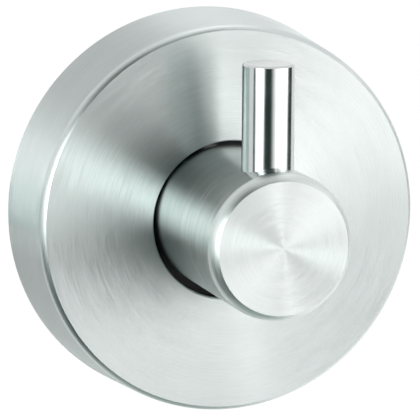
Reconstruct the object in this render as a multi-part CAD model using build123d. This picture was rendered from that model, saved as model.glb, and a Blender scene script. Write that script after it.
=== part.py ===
import os
from math import cos, radians, sin, tan

from build123d import *

# A wall-mounted coat hook: a post with an upright pin, on a wall plate hidden by a cover rose.
# Millimetres. The wall is the plane y = 0, the hook stands out along -Y and +Z is up.
# The post's axis is the Y axis.

# Post
post_diameter = 20.0
post_reach = 37.4  # wall to end face
post_end_round = 2.1  # length of the round along the post
post_end_inset = 1.0  # how far the round draws the end face in
post_rear_chamfer = 0.3
spigot_diameter = 12.0
spigot_across_flats = 10.0
spigot_length = 2.0

# Hook pin
pin_diameter = 7.0
pin_from_end = 6.8  # post's end face to pin axis
pin_rise = 13.7  # above the top of the post
pin_top_chamfer = 0.25
pin_seat_depth = 5.0  # how far the full-width foot is let into the post
pin_thread_diameter = 5.0
pin_thread_length = 6.0
pin_thread_chamfer = 0.5

# Cover rose
rose_rim_diameter = 56.0  # at the wall
rose_face_diameter = 54.0  # at the front
rose_depth = 13.8
rose_wall = 1.5
rose_edge_round = 1.2  # length of the round along the skirt
rose_edge_inset = 0.6  # how far the round draws the front face in
rose_hole_chamfer = 0.15
rose_post_clearance = 1.1  # round the post, when centred
rose_shift = 0.75  # off centre, towards its set screw
rose_screw_clock = -40.0  # degrees from +X, seen from the front

# Wall plate
plate_thickness = 6.0
plate_edge_chamfer = 0.4  # leads the rose on
wall_hole_spacing = 35.0
wall_hole_diameter = 5.0
wall_countersink_diameter = 10.0
rim_groove_depth = 1.2

# Countersunk screw that holds the post on the plate
post_screw_diameter = 5.0
post_screw_length = 16.0
post_screw_head_diameter = 10.0
post_screw_head_rim = 0.3
post_screw_head_sink = 0.2  # below the wall face
post_screw_socket = 3.0  # across flats
post_screw_socket_depth = 1.8
post_screw_chamfer = 0.5

# Set screw that holds the rose on the plate
set_screw_diameter = 4.0
set_screw_length = 4.0
set_screw_socket = 2.0  # across flats
set_screw_socket_depth = 1.8
set_screw_end_chamfer = 0.3

# Fits
pin_fit = 0.02  # round the pin's foot
thread_fit = 0.05  # round every screw thread
spigot_fit = 0.1
spigot_end_room = 0.2
screw_clearance = 0.25  # round the post screw in the plate
cone_fit = 0.02  # under the countersunk head
rose_seat_fit = 0.05  # where the rose bears on the plate's rim
set_screw_tip_fit = 0.05  # in the rim groove
tapping_run_out = 1.5  # drilled past the end of a thread
drill_point_angle = 118.0

# Worked out from the sizes above
post_radius = post_diameter / 2
pin_radius = pin_diameter / 2
pin_from_wall = post_reach - pin_from_end
pin_top = post_radius + pin_rise
pin_seat = post_radius - pin_seat_depth
rose_hole_radius = post_radius + rose_post_clearance
rose_draft = (rose_rim_diameter - rose_face_diameter) / 2 / rose_depth
screw_direction = Vector(cos(radians(rose_screw_clock)), 0, sin(radians(rose_screw_clock)))
rose_centre = screw_direction * rose_shift


def rose_radius(from_wall):
    return rose_rim_diameter / 2 - rose_draft * from_wall


rose_tightest = min(rose_radius(0), rose_radius(plate_thickness)) - rose_wall
plate_radius = rose_tightest - rose_shift - rose_seat_fit
rim_groove_from_wall = plate_thickness / 2
set_screw_tip = plate_radius - rim_groove_depth + set_screw_tip_fit


# Solid turned about the Y axis from (radius, distance from the wall) points
def turned(points):
    outline = Polyline(*[(radius, -from_wall) for radius, from_wall in points], close=True)
    return revolve(make_face(outline), Axis.Y)


# The same, closed by a round that carries on from the last stretch and ends at the first point
def turned_with_round(points):
    stretches = Polyline(*[(radius, -from_wall) for radius, from_wall in points])
    edge_round = TangentArc(stretches @ 1, stretches @ 0, tangent=stretches % 1)
    return revolve(make_face(stretches + edge_round), Axis.Y)


# Solid turned about its own axis from (radius, height) points, standing up from a plane's origin
def turned_on(plane, points):
    outline = Polyline(*[(radius, 0, height) for radius, height in points], close=True)
    return plane * revolve(make_face(outline), Axis.Z)


# Blind tapped hole: a straight bore with a drill point, going down from a plane's origin
def tapped_hole(plane, diameter, depth):
    radius = diameter / 2 + thread_fit
    point = radius / tan(radians(drill_point_angle / 2))
    return turned_on(plane, [(0, 0), (radius, 0), (radius, -depth), (0, -depth - point)])


# Round bar with two flats, standing out from a plane's origin
def flatted_bar(plane, diameter, across_flats, length):
    section = Circle(diameter / 2) & Rectangle(across_flats, diameter)
    return extrude(plane * section, length)


# Hexagonal socket, sunk from a plane's origin
def hex_socket(plane, across_flats, depth):
    return extrude(plane * RegularPolygon(across_flats / 2, 6, major_radius=False), -depth)


# Plane that faces the wall, at a distance from it
def towards_wall(from_wall):
    return Plane((0, -from_wall, 0), x_dir=(1, 0, 0), z_dir=(0, 1, 0))


# Planes that face up the pin and out along the set screw
pin_axis = Plane((0, -pin_from_wall, 0), x_dir=(1, 0, 0), z_dir=(0, 0, 1))
set_screw_axis = Plane((0, -rim_groove_from_wall, 0), x_dir=(0, 1, 0), z_dir=screw_direction)


def make_post():
    rear_radius = post_radius - post_rear_chamfer
    body = turned_with_round([
        (post_radius - post_end_inset, post_reach),
        (0, post_reach),
        (0, plate_thickness),
        (rear_radius, plate_thickness),
        (post_radius, plate_thickness + post_rear_chamfer),
        (post_radius, post_reach - post_end_round),
    ])
    spigot = flatted_bar(towards_wall(plate_thickness), spigot_diameter, spigot_across_flats, spigot_length)
    spigot_end = plate_thickness - spigot_length
    thread_end = post_screw_head_sink + post_screw_length
    screw_hole = tapped_hole(towards_wall(spigot_end), post_screw_diameter,
                             thread_end - spigot_end + tapping_run_out)
    seat = pin_axis.offset(pin_seat)
    foot_hole = extrude(seat * Circle(pin_radius + pin_fit), post_radius)
    pin_hole = tapped_hole(seat, pin_thread_diameter, pin_thread_length + tapping_run_out)
    return body + spigot - screw_hole - foot_hole - pin_hole


def make_hook_pin():
    thread_radius = pin_thread_diameter / 2
    thread_end = pin_seat - pin_thread_length
    return turned_on(pin_axis, [
        (0, thread_end),
        (thread_radius - pin_thread_chamfer, thread_end),
        (thread_radius, thread_end + pin_thread_chamfer),
        (thread_radius, pin_seat),
        (pin_radius, pin_seat),
        (pin_radius, pin_top - pin_top_chamfer),
        (pin_radius - pin_top_chamfer, pin_top),
        (0, pin_top),
    ])


def make_cover_rose():
    inside_depth = rose_depth - rose_wall
    round_start = rose_depth - rose_edge_round
    cup = Pos(rose_centre) * turned_with_round([
        (rose_radius(rose_depth) - rose_edge_inset, rose_depth),
        (rose_hole_radius + rose_hole_chamfer, rose_depth),
        (rose_hole_radius, rose_depth - rose_hole_chamfer),
        (rose_hole_radius, inside_depth),
        (rose_radius(inside_depth) - rose_wall, inside_depth),
        (rose_radius(0) - rose_wall, 0),
        (rose_radius(0), 0),
        (rose_radius(round_start), round_start),
    ])
    widest = max(rose_rim_diameter, rose_face_diameter) / 2
    hole_length = rose_shift + widest - plate_radius
    screw_hole = extrude(set_screw_axis.offset(plate_radius) * Circle(set_screw_diameter / 2 + thread_fit),
                         hole_length)
    return cup - screw_hole


def make_wall_plate():
    groove_top = rim_groove_from_wall - rim_groove_depth
    groove_end = rim_groove_from_wall + rim_groove_depth
    disc = turned([
        (0, 0),
        (plate_radius, 0),
        (plate_radius, groove_top),
        (plate_radius - rim_groove_depth, rim_groove_from_wall),
        (plate_radius, groove_end),
        (plate_radius, plate_thickness - plate_edge_chamfer),
        (plate_radius - plate_edge_chamfer, plate_thickness),
        (0, plate_thickness),
    ])
    pocket_depth = spigot_length + spigot_end_room
    pocket = flatted_bar(towards_wall(plate_thickness), spigot_diameter + 2 * spigot_fit,
                         spigot_across_flats + 2 * spigot_fit, pocket_depth)
    seat_radius = post_screw_head_diameter / 2 + post_screw_head_sink + post_screw_head_rim + cone_fit
    bore_radius = post_screw_diameter / 2 + screw_clearance
    screw_seat = turned([
        (0, 0),
        (seat_radius, 0),
        (bore_radius, seat_radius - bore_radius),
        (bore_radius, plate_thickness),
        (0, plate_thickness),
    ])
    wall_radius = wall_hole_diameter / 2
    sink_radius = wall_countersink_diameter / 2
    wall_hole = turned([
        (0, 0),
        (wall_radius, 0),
        (wall_radius, plate_thickness - (sink_radius - wall_radius)),
        (sink_radius, plate_thickness),
        (0, plate_thickness),
    ])
    upper_hole = Pos(0, 0, wall_hole_spacing / 2) * wall_hole
    lower_hole = Pos(0, 0, -wall_hole_spacing / 2) * wall_hole
    return disc - pocket - screw_seat - upper_hole - lower_hole


def make_post_screw():
    head_radius = post_screw_head_diameter / 2
    thread_radius = post_screw_diameter / 2
    head_top = post_screw_head_sink
    cone_top = head_top + post_screw_head_rim
    screw_end = head_top + post_screw_length
    screw = turned([
        (0, head_top),
        (head_radius, head_top),
        (head_radius, cone_top),
        (thread_radius, cone_top + head_radius - thread_radius),
        (thread_radius, screw_end - post_screw_chamfer),
        (thread_radius - post_screw_chamfer, screw_end),
        (0, screw_end),
    ])
    return screw - hex_socket(towards_wall(head_top), post_screw_socket, post_screw_socket_depth)


def make_rose_set_screw():
    radius = set_screw_diameter / 2
    outer_end = set_screw_tip + set_screw_length
    screw = turned_on(set_screw_axis, [
        (0, set_screw_tip),
        (radius, set_screw_tip + radius),
        (radius, outer_end - set_screw_end_chamfer),
        (radius - set_screw_end_chamfer, outer_end),
        (0, outer_end),
    ])
    return screw - hex_socket(set_screw_axis.offset(outer_end), set_screw_socket, set_screw_socket_depth)


pieces = {
    "wall_plate": make_wall_plate(),
    "post": make_post(),
    "post_screw": make_post_screw(),
    "hook_pin": make_hook_pin(),
    "cover_rose": make_cover_rose(),
    "rose_set_screw": make_rose_set_screw(),
}

os.makedirs("parts", exist_ok=True)
for name, piece in pieces.items():
    piece.label = name
    export_step(piece, f"parts/{name}.step")
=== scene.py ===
import math

import bpy
from mathutils import Matrix, Vector


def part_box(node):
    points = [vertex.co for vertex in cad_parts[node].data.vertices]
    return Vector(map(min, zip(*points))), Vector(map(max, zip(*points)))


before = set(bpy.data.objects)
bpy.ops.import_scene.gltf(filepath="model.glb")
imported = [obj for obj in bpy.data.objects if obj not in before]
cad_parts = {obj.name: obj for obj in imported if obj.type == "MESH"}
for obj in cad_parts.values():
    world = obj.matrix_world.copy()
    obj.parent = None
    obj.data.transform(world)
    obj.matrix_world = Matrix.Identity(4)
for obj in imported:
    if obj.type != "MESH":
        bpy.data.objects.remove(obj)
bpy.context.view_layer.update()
print("frame loaded:", len(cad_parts), "pieces")

scene = bpy.context.scene
scene.view_settings.view_transform = "Standard"


# unit vector out from the hook; azimuth 0 is straight in front, + to the right
def outwards(azimuth, elevation):
    a, e = math.radians(azimuth), math.radians(elevation)
    return Vector((math.sin(a) * math.cos(e), -math.cos(a) * math.cos(e), math.sin(e)))


# stands a camera or lamp at a place, looking back against the direction
def facing(place, direction, roll):
    right = Vector((0, 0, 1)).cross(direction).normalized()
    up = direction.cross(right)
    turn = Matrix((right, up, direction)).transposed().to_4x4()
    return Matrix.Translation(place) @ turn @ Matrix.Rotation(math.radians(roll), 4, "Z")


photoCamera = {
    "azimuth": -18.488,
    "elevation": 10.641,
    "roll": 0.449,
    "distance": 0.465,
    "target": (-0.001138, -0.010, 0.000344),
    "sensor": 36.0,  # mm
    "lens": 287.15,  # mm
    "clipStart": 0.01,
}


def addCamera():
    data = bpy.data.cameras.new("photoCamera")
    data.sensor_width = photoCamera["sensor"]
    data.lens = photoCamera["lens"]
    data.clip_start = photoCamera["clipStart"]
    camera = bpy.data.objects.new("photoCamera", data)
    scene.collection.objects.link(camera)
    direction = outwards(photoCamera["azimuth"], photoCamera["elevation"])
    place = Vector(photoCamera["target"]) + direction * photoCamera["distance"]
    camera.matrix_world = facing(place, direction, photoCamera["roll"])
    scene.camera = camera


# node helpers
def addNode(tree, kind, **settings):
    node = tree.nodes.new(kind)
    for key, value in settings.items():
        setattr(node, key, value)
    return node


def mathNode(tree, operation, *values):
    node = addNode(tree, "ShaderNodeMath", operation=operation)
    for socket, value in zip(node.inputs, values):
        if isinstance(value, (int, float)):
            socket.default_value = value
        else:
            tree.links.new(value, socket)
    return node.outputs[0]


def vectorNode(tree, operation, vector, fixed=None):
    node = addNode(tree, "ShaderNodeVectorMath", operation=operation)
    tree.links.new(vector, node.inputs[0])
    if fixed is not None:
        node.inputs[1].default_value = fixed
    return node.outputs["Value" if operation == "LENGTH" else "Vector"]


def split(tree, vector):
    parts = addNode(tree, "ShaderNodeSeparateXYZ")
    tree.links.new(vector, parts.inputs[0])
    return parts.outputs


def mapRange(tree, value, fromMin, fromMax, toMin, toMax, **settings):
    node = addNode(tree, "ShaderNodeMapRange", **settings)
    limits = {"From Min": fromMin, "From Max": fromMax, "To Min": toMin, "To Max": toMax}
    for name, limit in limits.items():
        node.inputs[name].default_value = limit
    tree.links.new(value, node.inputs["Value"])
    return node.outputs["Result"]


def noiseAt(tree, place, scale, detail):
    noise = addNode(tree, "ShaderNodeTexNoise")
    noise.inputs["Scale"].default_value = scale
    noise.inputs["Detail"].default_value = detail
    tree.links.new(place, noise.inputs["Vector"])
    return noise.outputs["Fac"]


noiseSpan = (0.3, 0.7)  # nearly all of a noise lies between these


def spread(tree, noise, low, high):
    return mapRange(tree, noise, *noiseSpan, low, high)


def twoTone(tree, noise, dark, light):
    ramp = addNode(tree, "ShaderNodeValToRGB")
    for stop, position, colour in zip(ramp.color_ramp.elements, noiseSpan, (dark, light)):
        stop.position = position
        stop.color = (*colour, 1)
    tree.links.new(noise, ramp.inputs["Fac"])
    return ramp.outputs["Color"]


def addBump(tree, shader, height, strength, distance):
    bump = addNode(tree, "ShaderNodeBump")
    bump.inputs["Strength"].default_value = strength
    bump.inputs["Distance"].default_value = distance
    tree.links.new(height, bump.inputs["Height"])
    tree.links.new(bump.outputs["Normal"], shader.inputs["Normal"])


def newMaterial(name):
    material = bpy.data.materials.new(name)
    material.use_nodes = True
    tree = material.node_tree
    return material, tree, tree.nodes["Principled BSDF"]


def boxCentre(node):
    low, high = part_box(node)
    return (low + high) / 2


# flat vector from an axis that lies along Y, distance from that axis, and place along it
def aroundAxis(tree, centre):
    place = addNode(tree, "ShaderNodeTexCoord").outputs["Object"]
    fromAxis = vectorNode(tree, "SUBTRACT", place, (centre.x, 0, centre.z))
    flat = vectorNode(tree, "MULTIPLY", fromAxis, (1, 0, 1))
    return flat, vectorNode(tree, "LENGTH", flat), split(tree, fromAxis)["Y"]


# noise drawn out along the turning marks
def turningMarks(tree, around, perMetre, arc, detail, sideMarks=1.0):
    flat, radius, depth = around
    aim = split(tree, vectorNode(tree, "NORMALIZE", flat))
    across = mathNode(tree, "ADD", radius, mathNode(tree, "MULTIPLY", depth, sideMarks))
    spot = addNode(tree, "ShaderNodeCombineXYZ")
    tree.links.new(mathNode(tree, "MULTIPLY", aim["X"], arc), spot.inputs["X"])
    tree.links.new(mathNode(tree, "MULTIPLY", across, perMetre), spot.inputs["Y"])
    tree.links.new(mathNode(tree, "MULTIPLY", aim["Z"], arc), spot.inputs["Z"])
    return noiseAt(tree, spot.outputs["Vector"], 1.0, detail)


# how far the surface faces along the lathe's axis: 0 on the sides, 1 on the flat faces
def slopeOf(tree):
    normal = addNode(tree, "ShaderNodeNewGeometry").outputs["Normal"]
    return mathNode(tree, "ABSOLUTE", split(tree, normal)["Y"])


colourUnder, colourOver, colourMixed = 6, 7, 2  # the mix node's colour sockets


# painted shade: the hollow of a cup, seen through its gaps, is coloured dark to stand in for the shade
# there
def paintShadeInHollow(tree, around, colour, node, shadedHollow):
    radius, depth = around[1:]
    low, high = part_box(node)
    rimRadius = (high.x - low.x) / 2
    draft = (shadedHollow["faceRadius"] - rimRadius) / low.y
    straight = mathNode(tree, "SUBTRACT", radius, mathNode(tree, "MULTIPLY", depth, draft))
    within = mathNode(tree, "LESS_THAN", straight, rimRadius - shadedHollow["wall"] + shadedHollow["room"])
    behind = mathNode(tree, "GREATER_THAN", depth, low.y + shadedHollow["wall"] / 2)
    mix = addNode(tree, "ShaderNodeMix", data_type="RGBA")
    tree.links.new(mathNode(tree, "MULTIPLY", within, behind), mix.inputs["Factor"])
    tree.links.new(colour, mix.inputs[colourUnder])
    mix.inputs[colourOver].default_value = (*shadedHollow["colour"], 1)
    return mix.outputs[colourMixed]


turning = {
    "sides": (0.08, 0.25),  # slopes between which the sides turn into edge rounds
    "flats": (0.9, 0.97),  # and the edge rounds into flat faces
    "fineDetail": 3.0,
    "broadDetail": 2.0,
    "broadArc": 0.5,  # as a share of the fine marks' arc
    "stretchTurn": 0.25,  # of a full turn, so that highlights stretch across the marks
}


# satin steel turned in a lathe: fine rings stretch every highlight across them, less so on edge rounds
def turnedSteel(name, node, look):
    material, tree, shader = newMaterial(name)
    shader.inputs["Metallic"].default_value = 1.0
    around = aroundAxis(tree, boxCentre(node))
    fine = turningMarks(tree, around, look["ringsPerMetre"], look["arc"],
                        turning["fineDetail"], look["sideMarks"])
    broad = turningMarks(tree, around, look["bandsPerMetre"], look["arc"] * turning["broadArc"],
                         turning["broadDetail"])
    slope = slopeOf(tree)
    flat = mapRange(tree, slope, *turning["flats"], 0, 1)
    edge = mathNode(tree, "SUBTRACT", mapRange(tree, slope, *turning["sides"], 0, 1), flat)

    colour = twoTone(tree, fine, look["dark"], look["light"])
    # painted shade where the rose's hollow shows through the gap round the post
    if "shadedHollow" in look:
        colour = paintShadeInHollow(tree, around, colour, node, look["shadedHollow"])
    tree.links.new(colour, shader.inputs["Base Color"])

    uneven = spread(tree, broad, *look["roughness"])
    onFlats = mathNode(tree, "MULTIPLY", flat, 1 - look["sideShare"])
    onEdges = mathNode(tree, "MULTIPLY", edge, look["sideShare"] - look["edgeShare"])
    share = mathNode(tree, "SUBTRACT", mathNode(tree, "ADD", onFlats, look["sideShare"]), onEdges)
    ringwise = spread(tree, fine, 1 - look["ringScatter"], 1 + look["ringScatter"])
    rough = mathNode(tree, "MULTIPLY", mathNode(tree, "MULTIPLY", uneven, share), ringwise)
    tree.links.new(rough, shader.inputs["Roughness"])

    pull = mapRange(tree, edge, 0, 1, look["anisotropic"], look["edgeAnisotropic"])
    tree.links.new(pull, shader.inputs["Anisotropic"])
    stray = look["stray"] / 360
    turn = spread(tree, fine, turning["stretchTurn"] - stray, turning["stretchTurn"] + stray)
    tree.links.new(turn, shader.inputs["Anisotropic Rotation"])
    tangent = addNode(tree, "ShaderNodeTangent", direction_type="RADIAL", axis="Y")
    tree.links.new(tangent.outputs["Tangent"], shader.inputs["Tangent"])
    addBump(tree, shader, fine, look["bump"], look["markDepth"])
    return material


grainDetail = 5.0


# even metal with a faint grain and smears
def plainSteel(name, look):
    material, tree, shader = newMaterial(name)
    shader.inputs["Metallic"].default_value = 1.0
    place = addNode(tree, "ShaderNodeTexCoord").outputs["Object"]
    grain = noiseAt(tree, place, look["grainPerMetre"], grainDetail)
    tree.links.new(twoTone(tree, grain, look["dark"], look["light"]), shader.inputs["Base Color"])
    tree.links.new(spread(tree, grain, *look["roughness"]), shader.inputs["Roughness"])
    addBump(tree, shader, grain, look["bump"], look["grainDepth"])
    return material


def dress(node, material):
    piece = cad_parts[node]
    piece.data.materials.clear()
    piece.data.materials.append(material)


coverRose = {
    "dark": (0.57, 0.614, 0.605),
    "light": (0.68, 0.731, 0.721),
    "roughness": (0.34, 0.365),
    "sideShare": 1.0,  # of the flat faces' roughness
    "edgeShare": 1.1,
    "anisotropic": 1.0,
    "edgeAnisotropic": 0.6,
    "ringsPerMetre": 7000.0,
    "sideMarks": 1.0,  # rings on the sides, as a share of those on the flat faces
    "stray": 5.0,  # degrees that the marks stray from true circles
    "ringScatter": 0.14,  # how much rougher and smoother single rings are
    "bandsPerMetre": 700.0,
    "arc": 5.0,  # how often the marks change along a circle
    "bump": 0.3,
    "markDepth": 0.00001,
    "shadedHollow": {
        "wall": 0.0015,
        "faceRadius": 0.027,  # of the outside, at the front
        "room": 0.0001,  # takes in the hollow's own wall
        # painted shade: dark colour standing in for the shade in the hollow
        "colour": (0.14, 0.145, 0.145),
    },
}


def dressCoverRose():
    dress("cover_rose", turnedSteel("roseSatinSteel", "cover_rose", coverRose))


post = {
    "dark": (0.61, 0.654, 0.642),
    "light": (0.72, 0.771, 0.758),
    "roughness": (0.33, 0.355),
    "sideShare": 0.57,
    "edgeShare": 1.2,
    "anisotropic": 1.0,
    "edgeAnisotropic": 0.5,
    "ringsPerMetre": 5000.0,
    "sideMarks": 0.3,
    "stray": 2.0,
    "ringScatter": 0.15,
    "bandsPerMetre": 900.0,
    "arc": 1.6,
    "bump": 0.12,
    "markDepth": 0.00001,
}


def dressPost():
    dress("post", turnedSteel("postSatinSteel", "post", post))


wallPlate = {
    "dark": (0.05, 0.05, 0.052),
    "light": (0.085, 0.085, 0.088),
    "roughness": (0.45, 0.56),
    "sideShare": 1.0,
    "edgeShare": 1.1,
    "anisotropic": 0.8,
    "edgeAnisotropic": 0.5,
    "ringsPerMetre": 2500.0,
    "sideMarks": 1.0,
    "stray": 2.0,
    "ringScatter": 0.1,
    "bandsPerMetre": 400.0,
    "arc": 2.0,
    "bump": 0.25,
    "markDepth": 0.00001,
}


def dressWallPlate():
    dress("wall_plate", turnedSteel("plateSteel", "wall_plate", wallPlate))


hookPin = {
    "dark": (0.56, 0.59, 0.583),
    "light": (0.61, 0.64, 0.633),
    "roughness": (0.12, 0.16),
    "grainPerMetre": 350.0,
    "bump": 0.02,
    "grainDepth": 0.00002,
}


def dressHookPin():
    dress("hook_pin", plainSteel("pinPolishedSteel", hookPin))


screws = {
    "dark": (0.38, 0.38, 0.39),
    "light": (0.50, 0.50, 0.51),
    "roughness": (0.28, 0.42),
    "grainPerMetre": 1500.0,
    "bump": 0.1,
    "grainDepth": 0.00001,
}


def dressScrews():
    screwSteel = plainSteel("screwSteel", screws)
    dress("post_screw", screwSteel)
    dress("rose_set_screw", screwSteel)


studio = {
    "white": (1.0, 1.0, 1.0),
    "fill": 0.85,  # soft light from all round
    "matt": 0.9,  # roughness of the floor, cloth and cards
}


# one for camera, glossy and transmission rays, nothing for the rest
def seenDirectly(tree):
    path = addNode(tree, "ShaderNodeLightPath").outputs
    seen = mathNode(tree, "MAXIMUM", path["Is Camera Ray"], path["Is Glossy Ray"])
    return mathNode(tree, "MAXIMUM", seen, path["Is Transmission Ray"])


def addWorld():
    world = bpy.data.worlds.new("studio")
    scene.world = world
    world.use_nodes = True
    tree = world.node_tree
    background = tree.nodes["Background"]
    background.inputs["Color"].default_value = (*studio["white"], 1)
    level = mapRange(tree, seenDirectly(tree), 0, 1, studio["fill"], 1)
    tree.links.new(level, background.inputs["Strength"])


def mattMaterial(name, colour):
    material, tree, shader = newMaterial(name)
    shader.inputs["Base Color"].default_value = (*colour, 1)
    shader.inputs["Roughness"].default_value = studio["matt"]
    return material, tree, shader


floor = {
    "height": -0.25,
    "size": 6.0,
    "colour": (0.80, 0.80, 0.80),
    "glow": 0.32,  # lifts the pale floor to white for the camera; shadows stay
}


def addFloor():
    half = floor["size"] / 2
    mesh = bpy.data.meshes.new("floor")
    corners = [(-half, -half, 0), (half, -half, 0), (half, half, 0), (-half, half, 0)]
    mesh.from_pydata(corners, [], [(0, 1, 2, 3)])
    piece = bpy.data.objects.new("floor", mesh)
    piece.location.z = floor["height"]
    scene.collection.objects.link(piece)
    material, tree, shader = mattMaterial("paleFloor", floor["colour"])
    shader.inputs["Emission Color"].default_value = (*studio["white"], 1)
    glow = mathNode(tree, "MULTIPLY", seenDirectly(tree), floor["glow"])
    tree.links.new(glow, shader.inputs["Emission Strength"])
    mesh.materials.append(material)


# hot is the brightest spot and core how far it stays bright, as shares of the width and height
softboxes = {
    "leftSoftbox": {
        "azimuth": -55, "elevation": 5, "distance": 0.50, "width": 0.50, "height": 0.55,
        "hot": (0.5, 0.5), "core": 0.15, "radiance": 5.0, "roll": 0, "tint": (0.95, 1.0, 0.985),
    },
    "rightSoftbox": {
        "azimuth": 39, "elevation": 4, "distance": 0.50, "width": 1.20, "height": 0.60,
        "hot": (0.5, 0.5), "core": 0.1, "radiance": 1.95, "roll": 14, "tint": (1.03, 1.0, 1.0),
    },
    "stripSoftbox": {  # hottest at its left edge, which draws the pin's shadow on the rose
        "azimuth": 19.2, "elevation": 14, "distance": 0.50, "width": 0.10, "height": 0.50,
        "hot": (0.0, 0.5), "core": 0.3, "radiance": 1.7, "roll": 0, "tint": (1.0, 1.0, 1.0),
    },
    "topSoftbox": {
        "azimuth": 150, "elevation": 65, "distance": 0.60, "width": 0.50, "height": 0.50,
        "hot": (0.5, 0.5), "core": 0.3, "radiance": 0.7, "roll": 0, "tint": (1.0, 1.0, 1.0),
    },
}

fadeReach = 0.5  # from the hot spot to where the light ends, as a share of the width and height


def addSoftbox(name, box):
    data = bpy.data.lights.new(name, "AREA")
    data.shape = "RECTANGLE"
    data.size = box["width"]
    data.size_y = box["height"]
    data.energy = 4 * box["width"] * box["height"]  # so that strength is radiance
    data.use_nodes = True
    tree = data.node_tree
    spot = addNode(tree, "ShaderNodeNewGeometry").outputs["Parametric"]
    away = vectorNode(tree, "LENGTH", vectorNode(tree, "SUBTRACT", spot, (*box["hot"], 0)))
    fade = mapRange(tree, away, fadeReach, fadeReach * box["core"], 0, box["radiance"],
                    interpolation_type="SMOOTHSTEP")
    emission = tree.nodes["Emission"]
    emission.inputs["Color"].default_value = (*box["tint"], 1)
    tree.links.new(fade, emission.inputs["Strength"])
    lamp = bpy.data.objects.new(name, data)
    scene.collection.objects.link(lamp)
    direction = outwards(box["azimuth"], box["elevation"])
    lamp.matrix_world = facing(direction * box["distance"], direction, box["roll"])
    lamp.visible_camera = False


blackCloth = (0.024, 0.048, 0.043)

# cloth and cards that only the steel sees, swept round the hook between two points,
# each a radius and a height above the floor
mirroredSheets = {
    "darkWall": {
        "from": (1.0, 0.002), "to": (1.0, 3.25), "azimuths": (-86, 42), "steps": 40,
        "colour": blackCloth,
    },
    "darkFlag": {
        "from": (1.0, 0.002), "to": (1.0, 0.60), "azimuths": (72, 100), "steps": 40,
        "colour": blackCloth,
    },
    "darkCloth": {
        "from": (0.12, 0.002), "to": (1.0, 0.002), "azimuths": (-120, 9), "steps": 40,
        "colour": blackCloth,
    },
    "leftCard": {
        "from": (1.05, 0.002), "to": (1.05, 0.27), "azimuths": (-140, -110), "steps": 24,
        "colour": (0.62, 0.78, 0.74),
    },
    "rearCard": {
        "from": (1.05, 0.002), "to": (1.05, 0.27), "azimuths": (-180, -140), "steps": 24,
        "colour": (0.38, 0.48, 0.46),
    },
    "lowCard": {
        "from": (0.0, 0.002), "to": (0.12, 0.002), "azimuths": (-180, 180), "steps": 24,
        "colour": (0.30, 0.36, 0.34),
    },
    "rightCard": {
        "from": (0.12, 0.002), "to": (1.0, 0.002), "azimuths": (9, 30), "steps": 24,
        "colour": (0.50, 0.50, 0.50),
    },
}


def addMirroredSheet(name, look):
    first, last = look["azimuths"]
    steps = look["steps"]
    points = []
    for step in range(steps + 1):
        direction = outwards(first + (last - first) * step / steps, 0)
        for radius, height in (look["from"], look["to"]):
            points.append(direction * radius + Vector((0, 0, floor["height"] + height)))
    faces = [(corner, corner + 1, corner + 3, corner + 2) for corner in range(0, 2 * steps, 2)]
    mesh = bpy.data.meshes.new(name)
    mesh.from_pydata(points, [], faces)
    mesh.materials.append(mattMaterial(name, look["colour"])[0])
    sheet = bpy.data.objects.new(name, mesh)
    scene.collection.objects.link(sheet)
    for ray in ("visible_camera", "visible_diffuse", "visible_shadow"):
        setattr(sheet, ray, False)


addCamera()
print("camera placed")
dressCoverRose()
dressPost()
dressWallPlate()
dressHookPin()
dressScrews()
print("steel finishes on", ", ".join(sorted(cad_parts)))
addWorld()
addFloor()
for name, box in softboxes.items():
    addSoftbox(name, box)
for name, look in mirroredSheets.items():
    addMirroredSheet(name, look)
print("studio lit by", ", ".join(softboxes))
